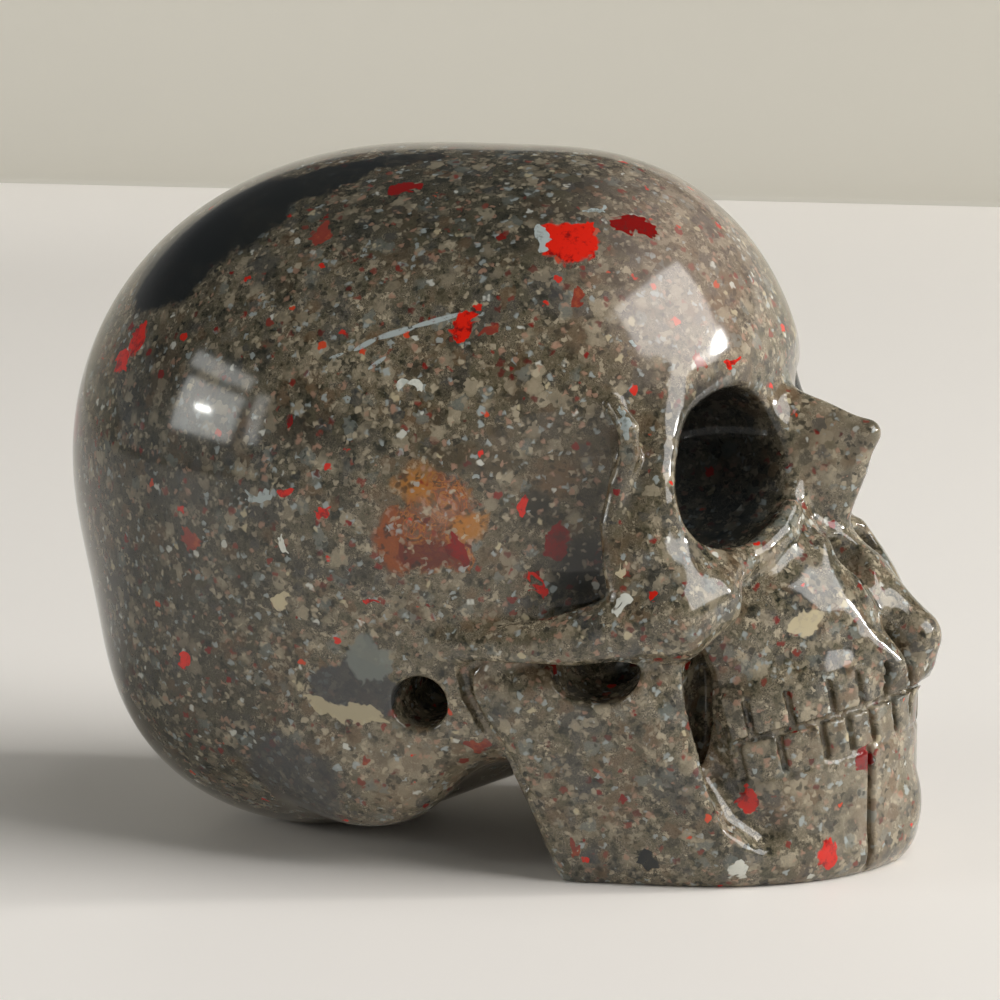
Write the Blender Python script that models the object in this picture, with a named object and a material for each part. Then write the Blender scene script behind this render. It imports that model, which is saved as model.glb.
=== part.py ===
"""A small human skull carved from one piece of speckled bloodstone and polished.

Run with blender --background --python part.py, or from Blender's text editor.

The skull looks along -Y with +Z up, and the origin is at the middle of its base. It is the same on
both sides. Its form is a distance field: a number at every point of space, in millimetres, that is
negative inside the stone. Geometry Nodes works the field out and turns its zero surface into a
mesh, Decimate thins the mesh, and a Boolean grinds the base flat.
"""

import math

import bpy

MM = 0.001

# Driving dimensions, in millimetres
LENGTH = 50.0
WIDTH = 34.8
HEIGHT = 37.6
VOXEL = 0.3
THINNING = 0.036

STONE_COLOUR = (0.16, 0.15, 0.135, 1.0)
STONE_ROUGHNESS = 0.12

# Teeth: the arch in plan, the bite plane's slope and the gaps, as angles from the front in degrees
ARCH_CENTRE = (0, -13.1, 0)
ARCH_RADII = (9.5, 9.9)
BITE_SLOPE = 0.27
BITE_HEIGHT = 3.23
UPPER_GAPS = (9.5, 19, 29.5, 40.5, 54.5, 67.5)
LOWER_GAPS = (12, 24, 33.5, 43, 57, 70)
REAR_GAP = 79.5
CHIN_LINE = 25
BITE_HALF_ANGLE = 72
TOOTH_HEIGHT = 2.1
GAP_WIDTH = 0.36
GAP_DEPTH = 0.45
GAP_LEAN = 0.22


class Field:
    """A number or a vector at every point of space: the output of a Geometry Nodes node."""

    tree = None

    def __init__(self, socket):
        self.socket = socket

    def __add__(self, other):
        return number("ADD", self, other)

    __radd__ = __add__

    def __sub__(self, other):
        return number("SUBTRACT", self, other)

    def __rsub__(self, other):
        return number("SUBTRACT", other, self)

    def __mul__(self, other):
        return number("MULTIPLY", self, other)

    __rmul__ = __mul__

    def __truediv__(self, other):
        return number("DIVIDE", self, other)

    def __neg__(self):
        return number("MULTIPLY", self, -1.0)


def new_node(kind, operation, values):
    """A node of the field's tree with these values in its first sockets."""
    node = Field.tree.nodes.new(kind)
    node.operation = operation
    for socket, value in zip(node.inputs, values):
        if isinstance(value, Field):
            Field.tree.links.new(value.socket, socket)
        else:
            socket.default_value = value
    return node


def number(operation, *values):
    return Field(new_node("ShaderNodeMath", operation, values).outputs[0])


def vector(operation, *values):
    return Field(new_node("ShaderNodeVectorMath", operation, values).outputs["Vector"])


def measure(operation, *values):
    """A vector operation whose answer is a number, such as LENGTH or DOT_PRODUCT."""
    return Field(new_node("ShaderNodeVectorMath", operation, values).outputs["Value"])


def scaled(direction, factor):
    """A direction made as long as the factor."""
    node = new_node("ShaderNodeVectorMath", "SCALE", (direction,))
    Field.tree.links.new(factor.socket, node.inputs["Scale"])
    return Field(node.outputs["Vector"])


def turned(point, centre, degrees):
    """The point as seen from a frame at centre that is turned by these X, Y and Z angles."""
    node = Field.tree.nodes.new("ShaderNodeVectorRotate")
    node.rotation_type = "EULER_XYZ"
    node.invert = True
    Field.tree.links.new(point.socket, node.inputs["Vector"])
    node.inputs["Center"].default_value = centre
    node.inputs["Rotation"].default_value = [math.radians(angle) for angle in degrees]
    return Field(node.outputs["Vector"])


def joined(first, second, blend):
    """Both shapes, with a fillet about this wide where they meet."""
    return number("SMOOTH_MIN", first, second, blend)


def carved(shape, tool, blend):
    """The shape with the tool cut out of it, its rim rounded over about this width."""
    return number("SMOOTH_MAX", shape, -tool, blend)


def ellipsoid(point, centre, radii, turn=(0, 0, 0)):
    if any(turn):
        point = turned(point, centre, turn)
    local = vector("SUBTRACT", point, centre)
    once = measure("LENGTH", vector("DIVIDE", local, radii))
    twice = measure("LENGTH", vector("DIVIDE", local, [radius**2 for radius in radii]))
    return once * (once - 1.0) / twice


def rod(point, start, end, start_radius, end_radius):
    """A round rod whose radius changes evenly from one end to the other."""
    along = [e - s for s, e in zip(start, end)]
    squared = sum(a * a for a in along)
    local = vector("SUBTRACT", point, start)
    share = number("MULTIPLY", measure("DOT_PRODUCT", local, along), 1.0 / squared)
    share = number("MINIMUM", number("MAXIMUM", share, 0.0), 1.0)
    away = measure("LENGTH", vector("SUBTRACT", local, scaled(along, share)))
    return away - start_radius - share * (end_radius - start_radius)


def ridge(point, stations):
    """Rods end to end. Each station is a place and the ridge's radius there."""
    found = None
    for (start, start_radius), (end, end_radius) in zip(stations, stations[1:]):
        piece = rod(point, start, end, start_radius, end_radius)
        found = piece if found is None else joined(found, piece, 0.2)
    return found


def block(point, centre, half_sizes, rounding, turn=(0, 0, 0)):
    """A box with round edges."""
    if any(turn):
        point = turned(point, centre, turn)
    local = vector("ABSOLUTE", vector("SUBTRACT", point, centre))
    beyond = vector("SUBTRACT", local, [half - rounding for half in half_sizes])
    return measure("LENGTH", vector("MAXIMUM", beyond, (0, 0, 0))) - rounding


def cranium(point):
    stone = ellipsoid(point, (0, 4.9, 20.0), (17.4, 19.9, 17.5))
    stone = joined(stone, ellipsoid(point, (0, 8.0, 21.5), (14.5, 16.3, 15.0)), 1.5)
    forehead = ellipsoid(point, (0, -4.5, 24.0), (12.6, 11.4, 12.9))
    stone = joined(stone, forehead, 6.0)
    occiput = ellipsoid(point, (0, 10.6, 10.2), (14.6, 11.6, 10.6))
    stone = joined(stone, occiput, 5.5)
    return joined(stone, ellipsoid(point, (0, -4.0, 17.0), (13.0, 10.0, 9.0)), 5.0)


def mastoid(point):
    knob = ellipsoid(point, (11.2, 3.4, 6.7), (3.5, 5.0, 4.5))
    return joined(knob, rod(point, (11.0, 0.0, 9.4), (10.4, -5.0, 9.8), 3.3, 3.3), 2.5)


def brow(point):
    """The brow ridge, which runs on down as the eye socket's outer edge."""
    stations = [
        ((0, -12.9, 26.8), 1.2),
        ((4.4, -12.5, 27.0), 1.4),
        ((7.6, -11.9, 26.6), 1.4),
        ((8.6, -12.0, 25.2), 1.2),
        ((10.4, -12.1, 22.6), 1.2),
        ((11.2, -12.4, 20.0), 1.25),
        ((11.6, -12.8, 16.4), 1.8),
    ]
    pillar = [((9.8, -10.4, 25.2), 0.8), ((11.1, -11.6, 21.5), 1.2), ((12.0, -12.2, 18.0), 1.5)]
    return joined(ridge(point, stations), ridge(point, pillar), 1.0)


def temple_edge(point):
    """The thin raised line behind the eye socket, down to the cheekbone."""
    stations = [
        ((12.1, -10.6, 25.4), 0.45),
        ((12.4, -11.5, 24.3), 0.55),
        ((12.5, -11.6, 22.9), 0.55),
        ((12.6, -11.1, 21.4), 0.55),
        ((12.9, -10.8, 19.4), 0.6),
        ((13.2, -11.2, 17.2), 0.7),
        ((13.2, -11.7, 15.8), 0.9),
    ]
    return ridge(point, stations)


def cheekbone(point):
    stations = [((8.6, -15.4, 16.9), 1.1), ((10.3, -15.1, 15.4), 1.8), ((11.8, -13.9, 14.7), 2.1)]
    bulge = ellipsoid(point, (11.3, -13.0, 15.5), (2.0, 2.5, 3.2), (0, 0, 20))
    return joined(ridge(point, stations), bulge, 2.0)


def socket_rim(point):
    stations = [
        ((9.3, -12.4, 24.4), 0.6),
        ((10.6, -12.7, 23.0), 0.6),
        ((11.5, -12.9, 21.6), 0.6),
        ((11.7, -13.1, 20.4), 0.6),
        ((11.4, -13.4, 19.0), 0.65),
        ((10.7, -14.1, 17.8), 0.7),
        ((9.4, -15.0, 17.0), 0.7),
        ((7.9, -16.0, 16.9), 0.7),
        ((6.5, -16.7, 17.4), 0.7),
        ((5.0, -17.2, 18.2), 0.65),
        ((3.8, -17.4, 19.2), 0.55),
    ]
    return ridge(point, stations)


def cheek_arch(point):
    stations = [
        ((13.8, 1.6, 12.6), 0.7),
        ((14.6, -2.4, 12.9), 0.9),
        ((14.6, -5.8, 13.1), 0.95),
        ((14.0, -9.0, 13.5), 1.35),
        ((13.1, -11.5, 14.1), 1.7),
        ((12.0, -13.6, 14.7), 2.1),
    ]
    return ridge(point, stations)


def nose(point):
    bridge = ridge(point, [((0, -13.0, 25.3), 1.5), ((0, -16.4, 23.9), 0.95), ((0, -20.35, 22.95), 0.6)])
    edge = [((0, -20.4, 22.85), 0.55), ((0, -19.8, 21.0), 0.55), ((0, -18.9, 19.4), 0.7), ((0, -18.4, 18.0), 0.9)]
    wall = [((1.2, -15.2, 23.6), 1.0), ((1.9, -16.3, 21.6), 1.1), ((2.8, -16.9, 18.4), 1.2)]
    middle = ellipsoid(point, (0, -16.6, 20.9), (2.0, 3.1, 3.4))
    shape = joined(bridge, ridge(point, edge), 1.0)
    return joined(joined(shape, ridge(point, wall), 1.5), middle, 1.5)


def upper_jaw(point):
    stone = ellipsoid(point, (0, -12.8, 12.8), (9.4, 9.5, 6.6))
    stone = joined(stone, rod(point, (3.8, -16.6, 17.4), (4.2, -17.6, 14.0), 1.6, 2.2), 1.5)
    return carved(stone, ellipsoid(point, (9.8, -20.8, 13.4), (2.8, 3.4, 2.4)), 2.5)


def arch_distance(point, centre, radii):
    """Distance from an upright wall that is an ellipse in plan, positive outside it."""
    local = vector("MULTIPLY", vector("SUBTRACT", point, centre), (1, 1, 0))
    plan = measure("LENGTH", vector("DIVIDE", local, (*radii, 1)))
    return (plan - 1.0) * (sum(radii) / 2)


def tooth_arch(point):
    top = bite_height(point) - 3.2
    bottom = 0.4 - measure("DOT_PRODUCT", point, (0, 0, 1))
    wall = arch_distance(point, ARCH_CENTRE, ARCH_RADII)
    return number("SMOOTH_MAX", wall, number("MAXIMUM", top, bottom), 2.5)


def bite_height(point):
    """Height over the sloping plane where the upper and lower teeth meet."""
    return measure("DOT_PRODUCT", point, (0, BITE_SLOPE, 1)) - BITE_HEIGHT


def nose_opening_rim(point):
    rim = [
        ((3.2, -18.7, 17.1), 0.7),
        ((3.8, -19.1, 15.6), 0.8),
        ((4.1, -19.8, 14.2), 0.85),
        ((3.5, -21.0, 12.6), 0.95),
        ((2.4, -22.4, 11.0), 1.0),
        ((1.2, -22.7, 10.3), 1.0),
    ]
    spine = [
        ((0, -17.9, 16.6), 0.9),
        ((0, -20.1, 15.2), 1.25),
        ((0, -21.6, 13.6), 1.4),
        ((0, -23.1, 12.2), 1.45),
        ((0, -23.0, 11.1), 1.3),
    ]
    return joined(ridge(point, rim), ridge(point, spine), 1.2)


def nose_opening(point):
    """The groove on each side of the nose's spine, deepest at its top and its lower end."""
    groove = [
        ((1.9, -20.5, 16.6), 0.8),
        ((2.3, -21.6, 15.2), 0.5),
        ((2.1, -22.8, 13.2), 0.4),
        ((1.7, -23.6, 11.4), 0.4),
    ]
    top = ellipsoid(point, (1.9, -20.3, 16.9), (1.25, 2.2, 1.3), (-35, 0, 0))
    slit = ellipsoid(point, (1.8, -22.9, 12.0), (0.4, 1.6, 1.8), (-25, 0, 0))
    return joined(ridge(point, groove), joined(top, slit, 0.3), 0.4)


def jaw_border(point):
    """The jaw's rounded lower border, bent round the chin."""
    wall = arch_distance(point, (0, -10, 0), (9.6, 11.3))
    height = measure("DOT_PRODUCT", point, (0, 0, 1)) - 1.4
    rear = measure("DOT_PRODUCT", point, (0, 1, 0)) + 8.2
    round_edge = number("SQRT", wall * wall + height * height) - 1.65
    return number("SMOOTH_MAX", round_edge, rear, 1.5)


def lower_jaw(point):
    branch = block(point, (11.0, -9.6, 6.5), (1.6, 4.2, 6.2), 1.2, (-17, 14, -10))
    rear_edge = [((12.6, -4.9, 10.6), 1.5), ((11.5, -6.4, 6.5), 1.4), ((9.9, -8.4, 1.9), 1.5)]
    front_edge = [
        ((10.5, -12.8, 11.8), 1.5),
        ((10.6, -13.1, 9.4), 1.5),
        ((10.4, -13.7, 7.0), 1.5),
        ((9.8, -14.8, 4.2), 1.4),
        ((8.8, -16.1, 2.2), 1.3),
    ]
    body = [((6.8, -16.9, 3.0), 2.0), ((4.6, -19.2, 3.2), 2.0)]
    jaw = joined(branch, jaw_border(point), 1.5)
    for stations in (rear_edge, front_edge, body):
        jaw = joined(jaw, ridge(point, stations), 1.5)
    return jaw


def groove_behind_jaw(point):
    stations = [
        ((14.6, -6.2, 12.2), 0.2),
        ((14.6, -4.3, 12.2), 0.3),
        ((14.4, -3.3, 11.4), 0.35),
        ((14.1, -3.4, 10.2), 0.35),
        ((13.5, -4.5, 7.8), 0.35),
        ((12.6, -6.0, 5.2), 0.3),
    ]
    return ridge(point, stations)


def mouth_recess(point):
    """The channel behind the jaw's front edge, which ends in a scoop under the back teeth."""
    stations = [
        ((10.1, -14.1, 11.2), 0.9),
        ((9.8, -14.7, 8.4), 1.1),
        ((9.7, -15.6, 6.0), 1.1),
        ((9.7, -16.8, 4.2), 1.1),
        ((9.0, -18.0, 3.2), 1.0),
    ]
    slit = ellipsoid(point, (9.0, -14.0, 9.2), (2.2, 0.8, 3.2))
    return joined(ridge(point, stations), slit, 0.3)


def chin(point):
    return ellipsoid(point, (0, -19.9, 3.0), (3.9, 3.6, 4.2))


def skull_field(point):
    """Distance to the skull's surface. The point's X is already folded to the positive side."""
    stone = joined(cranium(point), mastoid(point), 5.5)
    stone = carved(stone, ellipsoid(point, (17.3, -10.1, 18.6), (5.3, 5.6, 7.0)), 4.0)
    stone = carved(stone, ellipsoid(point, (14.2, -9.8, 16.8), (2.9, 2.2, 2.4)), 1.5)
    stone = joined(stone, brow(point), 1.5)
    stone = joined(stone, temple_edge(point), 0.8)
    stone = carved(stone, rod(point, (0, -17.9, 25.6), (6.5, -16.7, 25.2), 1.6, 1.5), 2.2)
    stone = joined(stone, nose(point), 1.0)
    stone = joined(stone, upper_jaw(point), 1.5)
    stone = joined(stone, tooth_arch(point), 1.5)
    stone = joined(stone, cheekbone(point), 0.8)
    stone = joined(stone, nose_opening_rim(point), 1.2)
    stone = carved(stone, ellipsoid(point, (6.6, -14.2, 21.45), (3.85, 7.0, 5.0), (0, -58, 27)), 0.7)
    stone = carved(stone, ellipsoid(point, (4.5, -17.9, 22.1), (2.0, 2.7, 3.4), (0, 0, 12)), 2.5)
    stone = joined(stone, socket_rim(point), 1.3)
    stone = joined(stone, lower_jaw(point), 0.5)
    stone = carved(stone, mouth_recess(point), 0.8)
    stone = joined(stone, chin(point), 0.3)
    stone = carved(stone, ellipsoid(point, (13.6, -10.1, 11.8), (4.2, 2.3, 1.8)), 0.4)
    stone = joined(stone, cheek_arch(point), 1.0)
    stone = carved(stone, rod(point, (17.0, -1.0, 9.4), (9.0, -0.6, 10.2), 1.6, 1.1), 0.5)
    stone = carved(stone, groove_behind_jaw(point), 0.3)
    stone = carved(stone, nose_opening(point), 0.4)
    return carved(stone, ellipsoid(point, (0, -10.2, -0.5), (6.6, 9.0, 7.4)), 1.0)


def skull_surface(owner, voxel):
    """A Geometry Nodes modifier that makes the skull with one vertex to about every voxel."""
    tree = bpy.data.node_groups.new("Skull field", "GeometryNodeTree")
    tree.interface.new_socket("Geometry", in_out="OUTPUT", socket_type="NodeSocketGeometry")
    Field.tree = tree
    nodes, links = tree.nodes, tree.links

    position = Field(nodes.new("GeometryNodeInputPosition").outputs["Position"])
    millimetres = vector("DIVIDE", position, (MM, MM, MM))
    split = nodes.new("ShaderNodeSeparateXYZ")
    fold = nodes.new("ShaderNodeCombineXYZ")
    links.new(millimetres.socket, split.inputs[0])
    links.new(number("ABSOLUTE", Field(split.outputs["X"])).socket, fold.inputs["X"])
    links.new(split.outputs["Y"], fold.inputs["Y"])
    links.new(split.outputs["Z"], fold.inputs["Z"])
    distance = skull_field(Field(fold.outputs[0]))

    low = (-WIDTH / 2 - 2, -LENGTH / 2 - 2, -3.0)
    high = (WIDTH / 2 + 2, LENGTH / 2 + 2, HEIGHT + 2)
    cube = nodes.new("GeometryNodeVolumeCube")
    links.new((-distance).socket, cube.inputs["Density"])
    cube.inputs["Background"].default_value = -1.0
    cube.inputs["Min"].default_value = [side * MM for side in low]
    cube.inputs["Max"].default_value = [side * MM for side in high]
    for axis, start, end in zip("XYZ", low, high):
        cube.inputs["Resolution " + axis].default_value = round((end - start) / voxel)
    surface = nodes.new("GeometryNodeVolumeToMesh")
    links.new(cube.outputs["Volume"], surface.inputs["Volume"])
    surface.inputs["Threshold"].default_value = 0.0
    smooth = nodes.new("GeometryNodeSetShadeSmooth")
    links.new(surface.outputs["Mesh"], smooth.inputs["Geometry"])
    output = nodes.new("NodeGroupOutput")
    links.new(smooth.outputs["Geometry"], output.inputs["Geometry"])
    owner.modifiers.new("Field surface", "NODES").node_group = tree


def hide(cutter):
    cutter.hide_render = True
    cutter.display_type = "WIRE"


def base_cutter():
    """A hidden block whose top is the table: whatever dips into it is ground away."""
    bpy.ops.mesh.primitive_cube_add(size=1)
    cutter = bpy.context.object
    cutter.name = "base_cutter"
    cutter.scale = (2 * WIDTH * MM, 2 * LENGTH * MM, 20 * MM)
    cutter.location = (0, 0, -10 * MM)
    hide(cutter)
    return cutter


def gap_cutter(name, degrees, low, high, lean):
    """A thin upright blade on the tooth arch, this many degrees from the front.

    Low and high are heights over the bite plane, and lean is how far the blade's top leans back.
    """
    middle = (low + high) / 2
    x = ARCH_RADII[0] * math.sin(math.radians(degrees))
    y = ARCH_CENTRE[1] - ARCH_RADII[1] * math.cos(math.radians(degrees))
    z = BITE_HEIGHT - BITE_SLOPE * y + middle
    bpy.ops.mesh.primitive_cube_add(size=1)
    cutter = bpy.context.object
    cutter.name = name
    cutter.scale = (GAP_WIDTH * MM, 2 * GAP_DEPTH * MM, (high - low) * MM)
    cutter.location = (x * MM, y * MM, z * MM)
    cutter.rotation_euler = (0, math.copysign(math.atan(lean), degrees), math.radians(degrees))
    hide(cutter)
    return cutter


def bite_line_cutter():
    """A bent rod along the line where the upper and lower teeth meet."""
    cutter = bpy.data.objects.new("bite_line_cutter", bpy.data.meshes.new("bite_line_cutter"))
    bpy.context.scene.collection.objects.link(cutter)
    tree = bpy.data.node_groups.new("Bite line", "GeometryNodeTree")
    tree.interface.new_socket("Geometry", in_out="OUTPUT", socket_type="NodeSocketGeometry")
    nodes, links = tree.nodes, tree.links
    arc = nodes.new("GeometryNodeCurveArc")
    arc.inputs["Resolution"].default_value = 40
    arc.inputs["Radius"].default_value = ARCH_RADII[0] * MM
    arc.inputs["Start Angle"].default_value = math.radians(-90 - BITE_HALF_ANGLE)
    arc.inputs["Sweep Angle"].default_value = math.radians(2 * BITE_HALF_ANGLE)
    section = nodes.new("GeometryNodeCurvePrimitiveCircle")
    section.inputs["Resolution"].default_value = 6
    section.inputs["Radius"].default_value = GAP_WIDTH / 2 * MM
    rod_mesh = nodes.new("GeometryNodeCurveToMesh")
    rod_mesh.inputs["Fill Caps"].default_value = True
    place = nodes.new("GeometryNodeTransform")
    tilt = math.atan(BITE_SLOPE)
    centre_height = BITE_HEIGHT - BITE_SLOPE * ARCH_CENTRE[1]
    place.inputs["Translation"].default_value = (0, ARCH_CENTRE[1] * MM, centre_height * MM)
    place.inputs["Rotation"].default_value = (-tilt, 0, 0)
    place.inputs["Scale"].default_value = (1, ARCH_RADII[1] / ARCH_RADII[0] / math.cos(tilt), 1)
    output = nodes.new("NodeGroupOutput")
    links.new(arc.outputs["Curve"], rod_mesh.inputs["Curve"])
    links.new(section.outputs["Curve"], rod_mesh.inputs["Profile Curve"])
    links.new(rod_mesh.outputs["Mesh"], place.inputs["Geometry"])
    links.new(place.outputs["Geometry"], output.inputs["Geometry"])
    cutter.modifiers.new("Bite line", "NODES").node_group = tree
    hide(cutter)
    return cutter


def groove_cutters():
    """Every engraved line of the teeth and the chin, gathered in one collection."""
    cutters = [bite_line_cutter()]
    for side in (-1, 1):
        for count, degrees in enumerate(UPPER_GAPS):
            cutters.append(gap_cutter(f"upper_gap_{side}_{count}", side * degrees, 0, TOOTH_HEIGHT, GAP_LEAN))
        for count, degrees in enumerate(LOWER_GAPS):
            cutters.append(gap_cutter(f"lower_gap_{side}_{count}", side * degrees, -TOOTH_HEIGHT, 0, GAP_LEAN))
        cutters.append(gap_cutter(f"rear_gap_{side}", side * REAR_GAP, -0.8, 2.0, GAP_LEAN))
        cutters.append(gap_cutter(f"chin_line_{side}", side * CHIN_LINE, -9.6, -TOOTH_HEIGHT, 0))
    cutters.append(gap_cutter("upper_gap_middle", 0, 0, TOOTH_HEIGHT, 0))
    cutters.append(gap_cutter("lower_gap_middle", 0, -TOOTH_HEIGHT, 0, 0))
    gathered = bpy.data.collections.new("Groove cutters")
    bpy.context.scene.collection.children.link(gathered)
    for cutter in cutters:
        gathered.objects.link(cutter)
    return gathered


def stone_material():
    material = bpy.data.materials.new("Bloodstone")
    material.use_nodes = True
    surface = material.node_tree.nodes["Principled BSDF"]
    surface.inputs["Base Color"].default_value = STONE_COLOUR
    surface.inputs["Roughness"].default_value = STONE_ROUGHNESS
    return material


def build():
    for old in list(bpy.data.objects):
        bpy.data.objects.remove(old)
    skull = bpy.data.objects.new("skull", bpy.data.meshes.new("skull"))
    bpy.context.scene.collection.objects.link(skull)
    skull.data.materials.append(stone_material())
    skull_surface(skull, VOXEL)

    thin = skull.modifiers.new("Thin the mesh", "DECIMATE")
    thin.ratio = THINNING
    engrave = skull.modifiers.new("Engrave the teeth", "BOOLEAN")
    engrave.operation = "DIFFERENCE"
    engrave.solver = "EXACT"
    engrave.operand_type = "COLLECTION"
    engrave.collection = groove_cutters()
    grind = skull.modifiers.new("Grind the base flat", "BOOLEAN")
    grind.operation = "DIFFERENCE"
    grind.solver = "EXACT"
    grind.object = base_cutter()
    return skull


SKULL = build()
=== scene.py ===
"""A small human skull carved from speckled bloodstone, polished, on a pale table.

The skull's form is the same distance field as the CAD part's, worked out on a finer grid, with the
tooth lines cut in the field itself. The stone's colour is procedural: layers of grains in a dark
ground, the inclusions that the photograph shows, and others of the same kinds on the far side.
"""

import math

import bpy
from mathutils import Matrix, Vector


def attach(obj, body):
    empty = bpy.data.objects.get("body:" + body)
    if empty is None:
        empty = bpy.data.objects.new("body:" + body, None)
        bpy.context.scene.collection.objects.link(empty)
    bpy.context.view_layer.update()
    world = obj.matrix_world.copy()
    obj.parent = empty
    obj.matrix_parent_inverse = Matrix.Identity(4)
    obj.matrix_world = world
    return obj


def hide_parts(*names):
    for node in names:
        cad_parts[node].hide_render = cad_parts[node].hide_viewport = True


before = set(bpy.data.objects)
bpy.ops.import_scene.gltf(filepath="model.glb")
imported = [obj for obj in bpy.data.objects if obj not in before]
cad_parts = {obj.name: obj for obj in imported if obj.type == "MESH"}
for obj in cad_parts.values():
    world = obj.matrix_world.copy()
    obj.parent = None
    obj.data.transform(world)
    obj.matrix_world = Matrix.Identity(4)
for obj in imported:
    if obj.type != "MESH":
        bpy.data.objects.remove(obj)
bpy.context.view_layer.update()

MM = 0.001

# The skull's grid, in millimetres
WIDTH = 34.8
LENGTH = 50.0
HEIGHT = 37.6
MARGIN = 1.0
VOXEL = 0.17
TRIANGLES = 190000

# Teeth: the arch in plan, the bite plane's slope and the gaps, as angles from the front in degrees
ARCH_CENTRE = (0, -13.1, 0)
ARCH_RADII = (9.5, 9.9)
BITE_SLOPE = 0.27
BITE_HEIGHT = 3.23
UPPER_GAPS = (9.5, 19, 29.5, 40.5, 54.5, 67.5)
LOWER_GAPS = (12, 24, 33.5, 43, 57, 70)
REAR_GAP = 79.5
CHIN_LINE = 25
BITE_HALF_ANGLE = 72
TOOTH_HEIGHT = 2.1
GAP_WIDTH = 0.36
GAP_DEPTH = 0.45
GAP_LEAN = 0.22
BLADE_REACH = 0.9
GUM_LINE = -2.25
GUM_DEPTH = 0.12
GUM_REACH = 0.6
GUM_BACK = 2.5

# The camera: where it looks from in degrees, how far off, and the photograph's scale
AZIMUTH = -68.0
ELEVATION = 9.0
DISTANCE = 0.230
PIXELS_PER_MM = 18.27
PICTURE_SIZE = 1000
SENSOR = 36.0
TARGET = Vector((0, 0, 0.019))
TARGET_PIXEL = (509, 484)

# How far from TARGET a ray starts that looks for the stone from outside, in metres
RAY_START = 0.1


class Field:
    """A number, a vector or a colour at every point of space: the output of a node.

    The tree is the one that new nodes go into. Each function that starts a tree sets it.
    """

    tree = None

    def __init__(self, socket):
        self.socket = socket

    def __add__(self, other):
        return number("ADD", self, other)

    __radd__ = __add__

    def __sub__(self, other):
        return number("SUBTRACT", self, other)

    def __rsub__(self, other):
        return number("SUBTRACT", other, self)

    def __mul__(self, other):
        return number("MULTIPLY", self, other)

    __rmul__ = __mul__

    def __truediv__(self, other):
        return number("DIVIDE", self, other)

    def __neg__(self):
        return number("MULTIPLY", self, -1.0)


def feed(socket, value):
    """Put a field or a plain value into a socket."""
    if isinstance(value, Field):
        Field.tree.links.new(value.socket, socket)
    else:
        socket.default_value = value


def new_node(kind, operation, values):
    """A node of the field's tree with these values in its first sockets."""
    node = Field.tree.nodes.new(kind)
    node.operation = operation
    for socket, value in zip(node.inputs, values):
        feed(socket, value)
    return node


def number(operation, *values):
    return Field(new_node("ShaderNodeMath", operation, values).outputs[0])


def vector(operation, *values):
    return Field(new_node("ShaderNodeVectorMath", operation, values).outputs["Vector"])


def measure(operation, *values):
    """A vector operation whose answer is a number, such as LENGTH or DOT_PRODUCT."""
    return Field(new_node("ShaderNodeVectorMath", operation, values).outputs["Value"])


def scaled(direction, factor):
    """A direction made as long as the factor."""
    node = new_node("ShaderNodeVectorMath", "SCALE", (direction,))
    Field.tree.links.new(factor.socket, node.inputs["Scale"])
    return Field(node.outputs["Vector"])


def turned(point, centre, degrees):
    """The point as seen from a frame at centre that is turned by these X, Y and Z angles."""
    node = Field.tree.nodes.new("ShaderNodeVectorRotate")
    node.rotation_type = "EULER_XYZ"
    node.invert = True
    Field.tree.links.new(point.socket, node.inputs["Vector"])
    node.inputs["Center"].default_value = centre
    node.inputs["Rotation"].default_value = [math.radians(angle) for angle in degrees]
    return Field(node.outputs["Vector"])


def joined(first, second, blend):
    """Both shapes, with a fillet about this wide where they meet."""
    return number("SMOOTH_MIN", first, second, blend)


def carved(shape, tool, blend):
    """The shape with the tool cut out of it, its rim rounded over about this width."""
    return number("SMOOTH_MAX", shape, -tool, blend)


def ellipsoid(point, centre, radii, turn=(0, 0, 0)):
    if any(turn):
        point = turned(point, centre, turn)
    local = vector("SUBTRACT", point, centre)
    once = measure("LENGTH", vector("DIVIDE", local, radii))
    twice = measure("LENGTH", vector("DIVIDE", local, [radius**2 for radius in radii]))
    return once * (once - 1.0) / twice


def rod(point, start, end, start_radius, end_radius):
    """A round rod whose radius changes evenly from one end to the other."""
    along = [e - s for s, e in zip(start, end)]
    squared = sum(a * a for a in along)
    local = vector("SUBTRACT", point, start)
    share = number("MULTIPLY", measure("DOT_PRODUCT", local, along), 1.0 / squared)
    share = number("MINIMUM", number("MAXIMUM", share, 0.0), 1.0)
    away = measure("LENGTH", vector("SUBTRACT", local, scaled(along, share)))
    return away - start_radius - share * (end_radius - start_radius)


def ridge(point, stations):
    """Rods end to end. Each station is a place and the ridge's radius there."""
    found = None
    for (start, start_radius), (end, end_radius) in zip(stations, stations[1:]):
        piece = rod(point, start, end, start_radius, end_radius)
        found = piece if found is None else joined(found, piece, 0.2)
    return found


def block(point, centre, half_sizes, rounding, turn=(0, 0, 0)):
    """A box with round edges."""
    if any(turn):
        point = turned(point, centre, turn)
    local = vector("ABSOLUTE", vector("SUBTRACT", point, centre))
    beyond = vector("SUBTRACT", local, [half - rounding for half in half_sizes])
    return measure("LENGTH", vector("MAXIMUM", beyond, (0, 0, 0))) - rounding


def cranium(point):
    stone = ellipsoid(point, (0, 4.9, 20.0), (17.4, 19.9, 17.5))
    stone = joined(stone, ellipsoid(point, (0, 8.0, 21.5), (14.5, 16.3, 15.0)), 1.5)
    forehead = ellipsoid(point, (0, -4.5, 24.0), (12.6, 11.4, 12.9))
    stone = joined(stone, forehead, 6.0)
    occiput = ellipsoid(point, (0, 10.6, 10.2), (14.6, 11.6, 10.6))
    stone = joined(stone, occiput, 5.5)
    return joined(stone, ellipsoid(point, (0, -4.0, 17.0), (13.0, 10.0, 9.0)), 5.0)


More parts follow.
